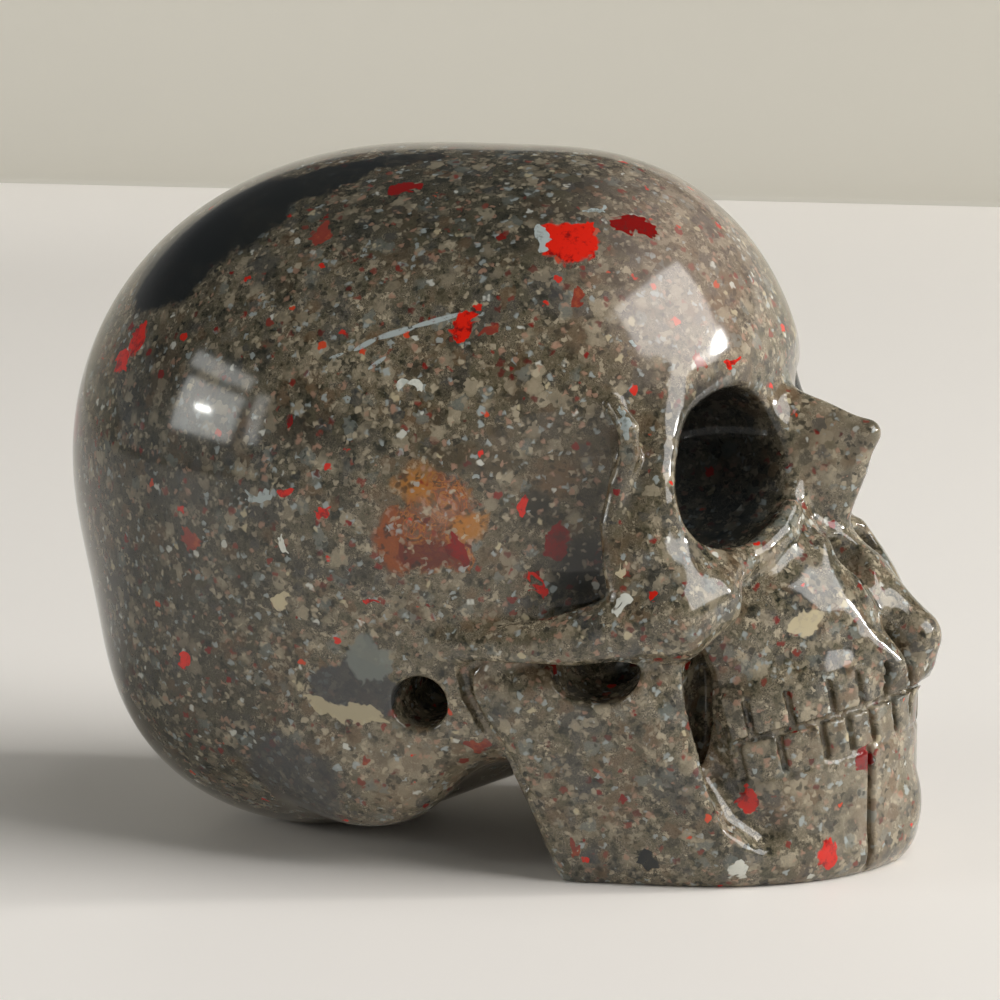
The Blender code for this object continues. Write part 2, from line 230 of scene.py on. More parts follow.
def mastoid(point):
    knob = ellipsoid(point, (11.2, 3.4, 6.7), (3.5, 5.0, 4.5))
    return joined(knob, rod(point, (11.0, 0.0, 9.4), (10.4, -5.0, 9.8), 3.3, 3.3), 2.5)


def brow(point):
    """The brow ridge, which runs on down as the eye socket's outer edge."""
    stations = [
        ((0, -12.9, 26.8), 1.2),
        ((4.4, -12.5, 27.0), 1.4),
        ((7.6, -11.9, 26.6), 1.4),
        ((8.6, -12.0, 25.2), 1.2),
        ((10.4, -12.1, 22.6), 1.2),
        ((11.2, -12.4, 20.0), 1.25),
        ((11.6, -12.8, 16.4), 1.8),
    ]
    pillar = [((9.8, -10.4, 25.2), 0.8), ((11.1, -11.6, 21.5), 1.2), ((12.0, -12.2, 18.0), 1.5)]
    return joined(ridge(point, stations), ridge(point, pillar), 1.0)


def temple_edge(point):
    """The thin raised line behind the eye socket, down to the cheekbone."""
    stations = [
        ((12.1, -10.6, 25.4), 0.45),
        ((12.4, -11.5, 24.3), 0.55),
        ((12.5, -11.6, 22.9), 0.55),
        ((12.6, -11.1, 21.4), 0.55),
        ((12.9, -10.8, 19.4), 0.6),
        ((13.2, -11.2, 17.2), 0.7),
        ((13.2, -11.7, 15.8), 0.9),
    ]
    return ridge(point, stations)


def cheekbone(point):
    stations = [((8.6, -15.4, 16.9), 1.1), ((10.3, -15.1, 15.4), 1.8), ((11.8, -13.9, 14.7), 2.1)]
    bulge = ellipsoid(point, (11.3, -13.0, 15.5), (2.0, 2.5, 3.2), (0, 0, 20))
    return joined(ridge(point, stations), bulge, 2.0)


def socket_rim(point):
    stations = [
        ((9.3, -12.4, 24.4), 0.6),
        ((10.6, -12.7, 23.0), 0.6),
        ((11.5, -12.9, 21.6), 0.6),
        ((11.7, -13.1, 20.4), 0.6),
        ((11.4, -13.4, 19.0), 0.65),
        ((10.7, -14.1, 17.8), 0.7),
        ((9.4, -15.0, 17.0), 0.7),
        ((7.9, -16.0, 16.9), 0.7),
        ((6.5, -16.7, 17.4), 0.7),
        ((5.0, -17.2, 18.2), 0.65),
        ((3.8, -17.4, 19.2), 0.55),
    ]
    return ridge(point, stations)


def cheek_arch(point):
    stations = [
        ((13.8, 1.6, 12.6), 0.7),
        ((14.6, -2.4, 12.9), 0.9),
        ((14.6, -5.8, 13.1), 0.95),
        ((14.0, -9.0, 13.5), 1.35),
        ((13.1, -11.5, 14.1), 1.7),
        ((12.0, -13.6, 14.7), 2.1),
    ]
    return ridge(point, stations)


def nose(point):
    bridge = ridge(point, [((0, -13.0, 25.3), 1.5), ((0, -16.4, 23.9), 0.95), ((0, -20.35, 22.95), 0.6)])
    edge = [
        ((0, -20.4, 22.85), 0.55),
        ((0, -19.8, 21.0), 0.55),
        ((0, -18.9, 19.4), 0.7),
        ((0, -18.4, 18.0), 0.9),
    ]
    wall = [((1.2, -15.2, 23.6), 1.0), ((1.9, -16.3, 21.6), 1.1), ((2.8, -16.9, 18.4), 1.2)]
    middle = ellipsoid(point, (0, -16.6, 20.9), (2.0, 3.1, 3.4))
    shape = joined(bridge, ridge(point, edge), 1.0)
    return joined(joined(shape, ridge(point, wall), 1.5), middle, 1.5)


def upper_jaw(point):
    stone = ellipsoid(point, (0, -12.8, 12.8), (9.4, 9.5, 6.6))
    stone = joined(stone, rod(point, (3.8, -16.6, 17.4), (4.2, -17.6, 14.0), 1.6, 2.2), 1.5)
    return carved(stone, ellipsoid(point, (9.8, -20.8, 13.4), (2.8, 3.4, 2.4)), 2.5)


def arch_distance(point, centre, radii):
    """Distance from an upright wall that is an ellipse in plan, positive outside it."""
    local = vector("MULTIPLY", vector("SUBTRACT", point, centre), (1, 1, 0))
    plan = measure("LENGTH", vector("DIVIDE", local, (*radii, 1)))
    return (plan - 1.0) * (sum(radii) / 2)


def tooth_arch(point):
    top = bite_height(point) - 3.2
    bottom = 0.4 - measure("DOT_PRODUCT", point, (0, 0, 1))
    wall = arch_distance(point, ARCH_CENTRE, ARCH_RADII)
    return number("SMOOTH_MAX", wall, number("MAXIMUM", top, bottom), 2.5)


def bite_height(point):
    """Height over the sloping plane where the upper and lower teeth meet."""
    return measure("DOT_PRODUCT", point, (0, BITE_SLOPE, 1)) - BITE_HEIGHT


def nose_opening_rim(point):
    rim = [
        ((3.2, -18.7, 17.1), 0.7),
        ((3.8, -19.1, 15.6), 0.8),
        ((4.1, -19.8, 14.2), 0.85),
        ((3.5, -21.0, 12.6), 0.95),
        ((2.4, -22.4, 11.0), 1.0),
        ((1.2, -22.7, 10.3), 1.0),
    ]
    spine = [
        ((0, -17.9, 16.6), 0.9),
        ((0, -20.1, 15.2), 1.25),
        ((0, -21.6, 13.6), 1.4),
        ((0, -23.1, 12.2), 1.45),
        ((0, -23.0, 11.1), 1.3),
    ]
    return joined(ridge(point, rim), ridge(point, spine), 1.2)


def nose_opening(point):
    """The groove on each side of the nose's spine, deepest at its top and its lower end."""
    groove = [
        ((1.9, -20.5, 16.6), 0.8),
        ((2.3, -21.6, 15.2), 0.5),
        ((2.1, -22.8, 13.2), 0.4),
        ((1.7, -23.6, 11.4), 0.4),
    ]
    top = ellipsoid(point, (1.9, -20.3, 16.9), (1.25, 2.2, 1.3), (-35, 0, 0))
    slit = ellipsoid(point, (1.8, -22.9, 12.0), (0.4, 1.6, 1.8), (-25, 0, 0))
    return joined(ridge(point, groove), joined(top, slit, 0.3), 0.4)


def jaw_border(point):
    """The jaw's rounded lower border, bent round the chin."""
    wall = arch_distance(point, (0, -10, 0), (9.6, 11.3))
    height = measure("DOT_PRODUCT", point, (0, 0, 1)) - 1.4
    rear = measure("DOT_PRODUCT", point, (0, 1, 0)) + 8.2
    round_edge = number("SQRT", wall * wall + height * height) - 1.65
    return number("SMOOTH_MAX", round_edge, rear, 1.5)


def lower_jaw(point):
    branch = block(point, (11.0, -9.6, 6.5), (1.6, 4.2, 6.2), 1.2, (-17, 14, -10))
    rear_edge = [((12.6, -4.9, 10.6), 1.5), ((11.5, -6.4, 6.5), 1.4), ((9.9, -8.4, 1.9), 1.5)]
    front_edge = [
        ((10.5, -12.8, 11.8), 1.5),
        ((10.6, -13.1, 9.4), 1.5),
        ((10.4, -13.7, 7.0), 1.5),
        ((9.8, -14.8, 4.2), 1.4),
        ((8.8, -16.1, 2.2), 1.3),
    ]
    body = [((6.8, -16.9, 3.0), 2.0), ((4.6, -19.2, 3.2), 2.0)]
    jaw = joined(branch, jaw_border(point), 1.5)
    for stations in (rear_edge, front_edge, body):
        jaw = joined(jaw, ridge(point, stations), 1.5)
    return jaw


def groove_behind_jaw(point):
    stations = [
        ((14.6, -6.2, 12.2), 0.2),
        ((14.6, -4.3, 12.2), 0.3),
        ((14.4, -3.3, 11.4), 0.35),
        ((14.1, -3.4, 10.2), 0.35),
        ((13.5, -4.5, 7.8), 0.35),
        ((12.6, -6.0, 5.2), 0.3),
    ]
    return ridge(point, stations)


def mouth_recess(point):
    """The channel behind the jaw's front edge, which ends in a scoop under the back teeth."""
    stations = [
        ((10.1, -14.1, 11.2), 0.9),
        ((9.8, -14.7, 8.4), 1.1),
        ((9.7, -15.6, 6.0), 1.1),
        ((9.7, -16.8, 4.2), 1.1),
        ((9.0, -18.0, 3.2), 1.0),
    ]
    slit = ellipsoid(point, (9.0, -14.0, 9.2), (2.2, 0.8, 3.2))
    return joined(ridge(point, stations), slit, 0.3)


def chin(point):
    return ellipsoid(point, (0, -19.9, 3.0), (3.9, 3.6, 4.2))


def skull_field(point):
    """Distance to the skull's surface. The point's X is already folded to the positive side."""
    stone = joined(cranium(point), mastoid(point), 5.5)
    stone = carved(stone, ellipsoid(point, (17.3, -10.1, 18.6), (5.3, 5.6, 7.0)), 4.0)
    stone = carved(stone, ellipsoid(point, (14.2, -9.8, 16.8), (2.9, 2.2, 2.4)), 1.5)
    stone = joined(stone, brow(point), 1.5)
    stone = joined(stone, temple_edge(point), 0.8)
    stone = carved(stone, rod(point, (0, -17.9, 25.6), (6.5, -16.7, 25.2), 1.6, 1.5), 2.2)
    stone = joined(stone, nose(point), 1.0)
    stone = joined(stone, upper_jaw(point), 1.5)
    stone = joined(stone, tooth_arch(point), 1.5)
    stone = joined(stone, cheekbone(point), 0.8)
    stone = joined(stone, nose_opening_rim(point), 1.2)
    stone = carved(stone, ellipsoid(point, (6.6, -14.2, 21.45), (3.85, 7.0, 5.0), (0, -58, 27)), 0.7)
    stone = carved(stone, ellipsoid(point, (4.5, -17.9, 22.1), (2.0, 2.7, 3.4), (0, 0, 12)), 2.5)
    stone = joined(stone, socket_rim(point), 1.3)
    stone = joined(stone, lower_jaw(point), 0.5)
    stone = carved(stone, mouth_recess(point), 0.8)
    stone = joined(stone, chin(point), 0.3)
    stone = carved(stone, ellipsoid(point, (13.6, -10.1, 11.8), (4.2, 2.3, 1.8)), 0.4)
    stone = joined(stone, cheek_arch(point), 1.0)
    stone = carved(stone, rod(point, (17.0, -1.0, 9.4), (9.0, -0.6, 10.2), 1.6, 1.1), 0.5)
    stone = carved(stone, groove_behind_jaw(point), 0.3)
    stone = carved(stone, nose_opening(point), 0.4)
    return carved(stone, ellipsoid(point, (0, -10.2, -0.5), (6.6, 9.0, 7.4)), 1.0)


def shared(*shapes):
    """Only what all the shapes share, with sharp edges."""
    found = shapes[0]
    for shape in shapes[1:]:
        found = number("MAXIMUM", found, shape)
    return found


def engraved_lines(point):
    """The saw cuts: between the teeth, along the bite, behind the last teeth and beside the chin.

    Each blade is its angle in degrees, its lowest and highest place over the bite, and its lean.
    """
    height = bite_height(point)
    local = vector("SUBTRACT", point, ARCH_CENTRE)
    in_front = measure("DOT_PRODUCT", local, (0, 1, 0))
    bite_reach = ARCH_RADII[1] * math.cos(math.radians(BITE_HALF_ANGLE))
    lines = shared(number("ABSOLUTE", height) - GAP_WIDTH / 2, in_front + bite_reach)
    blades = [(REAR_GAP, -0.8, 2.0, GAP_LEAN), (CHIN_LINE, -9.6, -TOOTH_HEIGHT, 0.0)]
    blades += [(degrees, 0, TOOTH_HEIGHT, GAP_LEAN) for degrees in (0, *UPPER_GAPS)]
    blades += [(degrees, -TOOTH_HEIGHT, 0, GAP_LEAN) for degrees in (0, *LOWER_GAPS)]
    for degrees, low, high, lean in blades:
        angle = math.radians(degrees)
        middle = (low + high) / 2
        aside = (ARCH_RADII[0] - ARCH_RADII[1]) * math.sin(angle) * math.cos(angle)
        across = measure("DOT_PRODUCT", local, (math.cos(angle), math.sin(angle), 0)) - aside
        beside = number("ABSOLUTE", across - (height - middle) * lean) - GAP_WIDTH / 2
        within = number("ABSOLUTE", height - middle) - (high - low) / 2
        lines = number("MINIMUM", lines, shared(beside, within))
    outward = arch_distance(point, ARCH_CENTRE, ARCH_RADII)
    return shared(lines, -(outward + GAP_DEPTH), outward - BLADE_REACH, in_front)


def gum_groove(point):
    """The faint line under the lower teeth."""
    away = number("ABSOLUTE", bite_height(point) - GUM_LINE)
    outward = arch_distance(point, ARCH_CENTRE, ARCH_RADII)
    local = vector("SUBTRACT", point, ARCH_CENTRE)
    in_front = measure("DOT_PRODUCT", local, (0, 1, 0)) + GUM_BACK
    return shared(away - GUM_DEPTH, -(outward + GUM_DEPTH), outward - GUM_REACH, in_front)


def carving(point):
    """The whole skull with its engraved lines, and its base ground flat at Z = 0."""
    stone = carved(skull_field(point), engraved_lines(point), 0.12)
    stone = carved(stone, gum_groove(point), 0.15)
    below = -measure("DOT_PRODUCT", point, (0, 0, 1))
    return number("MAXIMUM", stone, below)


def skull_mesh():
    """The skull's surface as a mesh of even triangles."""
    tree = bpy.data.node_groups.new("Skull field", "GeometryNodeTree")
    tree.interface.new_socket("Geometry", in_out="OUTPUT", socket_type="NodeSocketGeometry")
    Field.tree = tree
    nodes, links = tree.nodes, tree.links

    position = Field(nodes.new("GeometryNodeInputPosition").outputs["Position"])
    millimetres = vector("DIVIDE", position, (MM, MM, MM))
    split = nodes.new("ShaderNodeSeparateXYZ")
    fold = nodes.new("ShaderNodeCombineXYZ")
    links.new(millimetres.socket, split.inputs[0])
    links.new(number("ABSOLUTE", Field(split.outputs["X"])).socket, fold.inputs["X"])
    links.new(split.outputs["Y"], fold.inputs["Y"])
    links.new(split.outputs["Z"], fold.inputs["Z"])
    distance = carving(Field(fold.outputs[0]))

    low = (-WIDTH / 2 - MARGIN, -LENGTH / 2 - MARGIN, -MARGIN)
    high = (WIDTH / 2 + MARGIN, LENGTH / 2 + MARGIN, HEIGHT + MARGIN)
    cube = nodes.new("GeometryNodeVolumeCube")
    links.new((-distance).socket, cube.inputs["Density"])
    cube.inputs["Background"].default_value = -1.0
    cube.inputs["Min"].default_value = [side * MM for side in low]
    cube.inputs["Max"].default_value = [side * MM for side in high]
    for axis, start, end in zip("XYZ", low, high):
        cube.inputs["Resolution " + axis].default_value = round((end - start) / VOXEL)
    surface = nodes.new("GeometryNodeVolumeToMesh")
    links.new(cube.outputs["Volume"], surface.inputs["Volume"])
    surface.inputs["Threshold"].default_value = 0.0
    output = nodes.new("NodeGroupOutput")
    links.new(surface.outputs["Mesh"], output.inputs["Geometry"])

    maker = bpy.data.objects.new("maker", bpy.data.meshes.new("maker"))
    bpy.context.scene.collection.objects.link(maker)
    maker.modifiers.new("Field surface", "NODES").node_group = tree
    fine = evaluated(maker)
    maker.modifiers.clear()
    maker.data = fine
    thin = maker.modifiers.new("Thin the mesh", "DECIMATE")
    thin.ratio = TRIANGLES / sum(len(face.vertices) - 2 for face in fine.polygons)
    mesh = evaluated(maker)
    bpy.data.objects.remove(maker)
    mesh.materials.clear()
    mesh.shade_smooth()
    return mesh


def evaluated(piece):
    """The piece's mesh with its modifiers applied."""
    return bpy.data.meshes.new_from_object(piece.evaluated_get(bpy.context.evaluated_depsgraph_get()))


def facing(azimuth, elevation):
    """The direction at this azimuth and elevation in degrees. Azimuth 0 is the face, 90 its left."""
    azimuth, elevation = math.radians(azimuth), math.radians(elevation)
    flat = math.cos(elevation)
    return Vector((math.sin(azimuth) * flat, -math.cos(azimuth) * flat, math.sin(elevation)))


def camera_directions():
    """The camera's right, up and backward directions."""
    back = facing(AZIMUTH, ELEVATION)
    right = Vector((math.cos(math.radians(AZIMUTH)), math.sin(math.radians(AZIMUTH)), 0))
    return right, back.cross(right), back


def camera_place():
    """Where the camera stands, so that TARGET shows at TARGET_PIXEL."""
    right, up, back = camera_directions()
    across = (TARGET_PIXEL[0] - PICTURE_SIZE / 2) / PIXELS_PER_MM * MM
    down = (PICTURE_SIZE / 2 - TARGET_PIXEL[1]) / PIXELS_PER_MM * MM
    return TARGET - right * across - up * down + back * DISTANCE


def add_camera():
    _, _, back = camera_directions()
    data = bpy.data.cameras.new("Camera")
    data.sensor_width = SENSOR
    data.lens = SENSOR * PIXELS_PER_MM * DISTANCE / MM / PICTURE_SIZE
    data.clip_start = 0.01
    camera = bpy.data.objects.new("Camera", data)
    camera.location = camera_place()
    camera.rotation_mode = "QUATERNION"
    camera.rotation_quaternion = back.to_track_quat("Z", "Y")
    bpy.context.scene.collection.objects.link(camera)
    bpy.context.scene.camera = camera


def place_in_picture(skull, x, y):
    """The skull's point, in millimetres, that the photograph shows at this pixel, and its normal."""
    right, up, back = camera_directions()
    reach = PIXELS_PER_MM * DISTANCE / MM
    ray = right * (x - PICTURE_SIZE / 2) - up * (y - PICTURE_SIZE / 2) - back * reach
    found, place, normal, _ = skull.ray_cast(camera_place(), ray.normalized())
    if not found:
        raise ValueError(f"no stone at pixel {x}, {y}")
    return place / MM, normal


def place_from_side(skull, outward):
    """The skull's point, in millimetres, that is seen from this direction."""
    found, place, _, _ = skull.ray_cast(TARGET + outward * RAY_START, -outward)
    if not found:
        raise ValueError(f"no stone towards {outward}")
    return place / MM


def tone(red, green, blue):
    """A colour as a screen shows it, 0 to 255 a channel, made linear for a shader."""
    return (*[((level / 255 + 0.055) / 1.055) ** 2.4 for level in (red, green, blue)], 1.0)


# The stone's colours
OLIVE = tone(76, 73, 56)
BLACK_GREEN = tone(36, 37, 31)
GREY_BROWN = tone(113, 104, 86)
WARM_GREY = tone(146, 135, 115)
GREY_BEIGE = tone(172, 161, 138)
BLUE_GREY = tone(114, 120, 115)
BROWN = tone(102, 80, 58)
PALE_BLUE = tone(158, 167, 166)
WHITE = tone(206, 207, 198)
WHITE_SHADE = tone(178, 183, 176)
CREAM = tone(186, 174, 143)
PINK_GREY = tone(160, 126, 106)
# Partly the stone's pink, partly a painted sheen
PINK_VEIL_AND_SHEEN = tone(176, 156, 144)
BRIGHT_RED = tone(205, 30, 12)
DEEP_RED = tone(122, 14, 12)
DULL_RED = tone(122, 52, 42)
ORANGE_RED = tone(198, 66, 34)
BRICK = tone(146, 72, 48)
OCHRE = tone(166, 108, 40)
RUST = tone(134, 66, 26)
MAROON = tone(88, 30, 26)
INK = tone(18, 24, 27)
SLATE = tone(62, 64, 66)
BROWN_TINT = tone(66, 56, 38)

# The mottled ground's colours by a noise, and the colours of the grains in it
GROUND_TONES = (
    (0.35, BLACK_GREEN),
    (0.42, OLIVE),
    (0.46, GREY_BROWN),
    (0.49, OLIVE),
    (0.52, WARM_GREY),
    (0.55, BLACK_GREEN),
    (0.58, GREY_BROWN),
    (0.63, GREY_BEIGE),
)
DEEP_GRAINS = (OLIVE, WARM_GREY, BLACK_GREEN, BLUE_GREY, BROWN, BLACK_GREEN, GREY_BEIGE, SLATE)
FINE_GRAINS = (
    *(WARM_GREY, GREY_BEIGE, BLACK_GREEN, WARM_GREY),
    *(BLACK_GREEN, PINK_GREY, PALE_BLUE, BLACK_GREEN),
)
SPARSE_GRAINS = (
    *(WHITE, DULL_RED, DEEP_RED, PALE_BLUE, MAROON),
    *(PINK_GREY, CREAM, DULL_RED, GREY_BEIGE, MAROON),
)
RED_GRAINS = (ORANGE_RED, DEEP_RED, BRIGHT_RED, DULL_RED)

# Layers of grains: colours, cell size, shift, share of the cells, reach, softness and cover
DEEP_LAYER = (DEEP_GRAINS, 0.75, 17.7, 0.62, 0.8, 0.4, 0.55)
UPPER_LAYERS = [
    (FINE_GRAINS, 0.3, 31.3, 0.4, 0.68, 0.3, 0.7),
    (SPARSE_GRAINS, 0.62, 59.1, 0.4, 0.36, 0.1, 0.78),
    (RED_GRAINS, 1.1, 97.1, 0.2, 0.25, 0.03, 0.95),
]

# The smallest grains' size, as a share of the largest ones'
SMALLEST_GRAIN = 0.45

# How far a mark near the skull's outline is stretched back over the stone at most
STEEPEST = 0.3

# A mark that is wider than this share of its length is drawn round
ROUND = 0.75

# Inclusions seen in the photograph: two colours, then x, y, width and height in pixels, and tilt
INCLUSIONS = [
    (
        (BRIGHT_RED, DEEP_RED),
        [
            (568, 242, 44, 52, 40),
            (585, 236, 26, 28, 0),
            (462, 322, 26, 36, -10),
            (138, 337, 24, 20, 30),
            (123, 360, 18, 20, 0),
            (182, 660, 10, 22, 0),
            (748, 801, 26, 22, 10),
            (829, 856, 24, 28, 0),
            (321, 514, 15, 15, 0),
            (369, 601, 13, 8, 10),
            (522, 507, 12, 12, 0),
            (287, 492, 13, 9, -20),
            (537, 586, 13, 19, 0),
            (732, 362, 14, 12, 0),
        ],
    ),
    (
        (DEEP_RED, MAROON),
        [
            (628, 223, 34, 20, 0),
            (648, 229, 26, 16, -10),
            (556, 541, 26, 34, 10),
            (402, 189, 33, 10, 5),
            (289, 421, 9, 15, 0),
            (865, 760, 18, 26, 0),
            (457, 552, 14, 28, 10),
        ],
    ),
    (
        (DULL_RED, BRICK),
        [
            (320, 233, 26, 20, 0),
            (490, 333, 18, 12, 0),
            (580, 300, 12, 20, 0),
            (190, 541, 20, 22, 0),
            (475, 745, 18, 16, 0),
            (367, 760, 13, 11, 0),
            (700, 360, 14, 18, 0),
            (575, 845, 10, 18, 20),
        ],
    ),
    (
        (WHITE, WHITE_SHADE),
        [
            (409, 386, 26, 13, -30),
            (283, 546, 7, 17, 0),
            (622, 605, 15, 13, 0),
            (738, 867, 20, 22, 0),
        ],
    ),
    (
        (PALE_BLUE, BLUE_GREY),
        [
            (543, 238, 16, 26, 0),
            (597, 211, 24, 7, 5),
            (621, 336, 52, 6, -24),
            (260, 496, 30, 17, 10),
            (627, 425, 8, 56, 8),
        ],
    ),
    (
        (CREAM, GREY_BEIGE),
        [
            (281, 602, 19, 18, 0),
            (805, 622, 28, 30, 0),
            (624, 570, 10, 16, 0),
        ],
    ),
    (
        (INK, BLACK_GREEN),
        [
            (648, 862, 22, 22, 0),
        ],
    ),
]

# The pale vein's straight lengths, in the same form
VEIN = [
    (438, 320, 58, 5, 15),
    (395, 333, 42, 6, 16),
    (366, 344, 28, 5, 28),
    (377, 363, 22, 4, 35),
    (336, 356, 16, 3, 20),
]

# Stains under the grains: colour, then the same five numbers, softness and cover
STAINS = [
    (BROWN_TINT, (540, 450, 220, 230, 0), 0.8, 0.5),
    (BLACK_GREEN, (320, 430, 110, 70, 0), 0.6, 0.5),
    (BLACK_GREEN, (460, 195, 340, 120, 0), 0.7, 0.6),
    (BLACK_GREEN, (160, 560, 220, 480, 0), 0.7, 0.55),
    (WARM_GREY, (840, 440, 90, 110, 0), 0.7, 0.5),
    (WARM_GREY, (410, 770, 150, 90, 0), 0.7, 0.4),
    (WARM_GREY, (870, 790, 120, 200, 0), 0.6, 0.4),
]

# Patches over the grains, in the same form: clear ones, and veils of colour, one partly a painted sheen
# on the forehead
PATCHES = [
    (INK, (181, 257, 116, 74, 54), 0.12, 0.97),
    (INK, (240, 214, 140, 62, 35), 0.12, 0.97),
    (INK, (318, 180, 130, 30, 19), 0.14, 0.95),
    (INK, (395, 160, 110, 14, 6), 0.2, 0.8),
    (SLATE, (296, 786, 104, 62, -14), 0.18, 0.75),
    (SLATE, (357, 690, 90, 62, 0), 0.12, 0.85),
    (BLUE_GREY, (368, 659, 50, 40, 20), 0.1, 0.85),
    (CREAM, (350, 712, 92, 20, -14), 0.12, 0.75),
    # Pale pink veil on the forehead: partly the stone's tone, partly a painted sheen of the window's
    # reflection
    (PINK_VEIL_AND_SHEEN, (690, 250, 180, 220, -20), 0.8, 0.3),
    (BLACK_GREEN, (400, 210, 440, 170, 0), 0.8, 0.32),
    (BLACK_GREEN, (130, 560, 170, 500, 0), 0.8, 0.34),
]

# The rust patch on the side: its lobes as five numbers each, and its colours by a noise
RUST_LOBES = [
    (398, 540, 46, 62, 0),
    (440, 508, 72, 66, -20),
    (438, 552, 76, 40, -5),
]
RUST_TONES = (
    (0.34, BROWN_TINT),
    (0.41, RUST),
    (0.46, BROWN),
    (0.50, BRICK),
    (0.54, OCHRE),
    (0.57, RUST),
    (0.64, BROWN_TINT),
)
# The rust patch's stains, and after them painted shade in the temple's hollow
RUST_STAINS_AND_HOLLOW_SHADE = [
    (BROWN_TINT, (470, 460, 116, 26, -6), 0.4, 0.75),
    (OCHRE, (416, 484, 44, 34, -30), 0.4, 0.85),
    (RUST, (392, 545, 38, 64, 5), 0.35, 0.85),
    (PINK_GREY, (436, 512, 34, 24, 0), 0.6, 0.3),
    (OCHRE, (470, 525, 32, 34, 0), 0.4, 0.75),
    (MAROON, (432, 555, 66, 30, -10), 0.35, 0.8),
    (BROWN, (556, 478, 44, 32, 0), 0.5, 0.7),
    # Painted shade in the temple's hollow behind the eye socket
    (BLACK_GREEN, (536, 508, 36, 34, 0), 0.45, 0.85),
    (BLACK_GREEN, (584, 566, 66, 76, 0), 0.45, 0.9),
]

# Painted shade at the eye socket's bottom: its middle and its reach in millimetres, all dark and none
SOCKET_SHADE_MIDDLE = (5.6, -11.7, 21.4)
SOCKET_SHADE_FULL = 4.7
SOCKET_SHADE_EDGE = 6.4
SOCKET_SHADE_COVER = 0.85

# The far side's patches: colour, azimuth, elevation, half width, half height, softness and cover
FAR_PATCHES = [
    (INK, 118, 44, 5.2, 1.6, 0.15, 0.95),
    (SLATE, 140, -14, 3.0, 2.2, 0.2, 0.8),
    (RUST, 84, 2, 2.4, 1.7, 0.3, 0.75),
    (OCHRE, 90, 6, 1.4, 1.1, 0.3, 0.75),
    (BRIGHT_RED, 66, 30, 0.8, 1.1, 0.08, 1.0),
    (BRIGHT_RED, 124, 22, 1.2, 1.0, 0.08, 1.0),
    (DEEP_RED, 200, 8, 1.0, 1.3, 0.08, 1.0),
]


def fade(value, none, full, most=1.0):
    """0 where the value is at none, most where it is at full, and a smooth step between them."""
    node = Field.tree.nodes.new("ShaderNodeMapRange")
    node.interpolation_type = "SMOOTHSTEP"
    Field.tree.links.new(value.socket, node.inputs["Value"])
    node.inputs["From Min"].default_value = none
    node.inputs["From Max"].default_value = full
    node.inputs["To Max"].default_value = most
    return Field(node.outputs["Result"])


def painted(ground, colour, share):
    """The ground with this share of the colour laid over it."""
    node = Field.tree.nodes.new("ShaderNodeMix")
    node.data_type = "RGBA"
    sockets = {socket.identifier: socket for socket in node.inputs}
    feed(sockets["Factor_Float"], share)
    feed(sockets["A_Color"], ground)
    feed(sockets["B_Color"], colour)
    return Field(next(socket for socket in node.outputs if socket.identifier == "Result_Color"))


def noise(point, size, detail=1.0, roughness=0.5, output="Fac"):
    """Noise whose features are about this many millimetres across."""
    node = Field.tree.nodes.new("ShaderNodeTexNoise")
    Field.tree.links.new(point.socket, node.inputs["Vector"])
    node.inputs["Scale"].default_value = 1 / size
    node.inputs["Detail"].default_value = detail
    node.inputs["Roughness"].default_value = roughness
    return Field(node.outputs[output])


def shaken(point, size, reach):
    """The point moved about by noise, so that whatever is drawn there gets an uneven edge."""
    push = vector("SUBTRACT", noise(point, size, 0.0, output="Color"), (0.5, 0.5, 0.5))
    return vector("MULTIPLY_ADD", push, (reach, reach, reach), point)


def cells(point, size, shift):
    """Cells of about this size: how far a point is from its cell's middle, and three random numbers.

    Every shift gives another set of cells.
    """
    node = Field.tree.nodes.new("ShaderNodeTexVoronoi")
    Field.tree.links.new(vector("ADD", point, (shift, shift, shift)).socket, node.inputs["Vector"])
    node.inputs["Scale"].default_value = 1 / size
    split = Field.tree.nodes.new("ShaderNodeSeparateColor")
    Field.tree.links.new(node.outputs["Color"], split.inputs[0])
    return Field(node.outputs["Distance"]), *[Field(split.outputs[channel]) for channel in range(3)]


def ramp(value, stops, interpolation="LINEAR"):
    """A colour by a number: each stop is a number and the colour there."""
    node = Field.tree.nodes.new("ShaderNodeValToRGB")
    node.color_ramp.interpolation = interpolation
    Field.tree.links.new(value.socket, node.inputs[0])
    elements = node.color_ramp.elements
    elements.remove(elements[1])
    elements[0].position, elements[0].color = stops[0]
    for position, colour in stops[1:]:
        elements.new(position).color = colour
    return Field(node.outputs[0])


def palette(value, colours):
    """One of the colours, by a random number from 0 to 1."""
    stops = [(count / len(colours), colour) for count, colour in enumerate(colours)]
    return ramp(value, stops, "CONSTANT")


def grains(ground, point, colours, size, shift, share, reach, softness, cover):
    """The ground with grains in it.

    This share of the cells hold one. The largest grains reach this far over their cell, and the
    smallest SMALLEST_GRAIN times that far.
    """
    distance, pick, chance, spread = cells(point, size, shift)
    there = fade(chance, share + 0.01, share - 0.01, cover)
    limit = number("MULTIPLY_ADD", spread, (1 - SMALLEST_GRAIN) * reach, SMALLEST_GRAIN * reach)
    inside = fade(distance - limit, softness, -softness)
    return painted(ground, palette(pick, colours), there * inside)


def mark_distance(point, centre, first, second):
    """How far out in a round or long mark the point is, and how far out the mark's edge is.

    First and second are the mark's half axes, in either order. A long mark is drawn from its foci.
    """
    longer, shorter = sorted((first, second), key=lambda axis: axis.length, reverse=True)
    if shorter.length > ROUND * longer.length:
        return measure("DISTANCE", point, centre), (shorter.length + longer.length) / 2
    focus = longer * math.sqrt(1 - (shorter.length / longer.length) ** 2)
    reach = measure("DISTANCE", point, centre + focus) + measure("DISTANCE", point, centre - focus)
    beyond = number("MULTIPLY_ADD", reach, reach, -4 * focus.length_squared)
    return number("SQRT", beyond), 2 * shorter.length


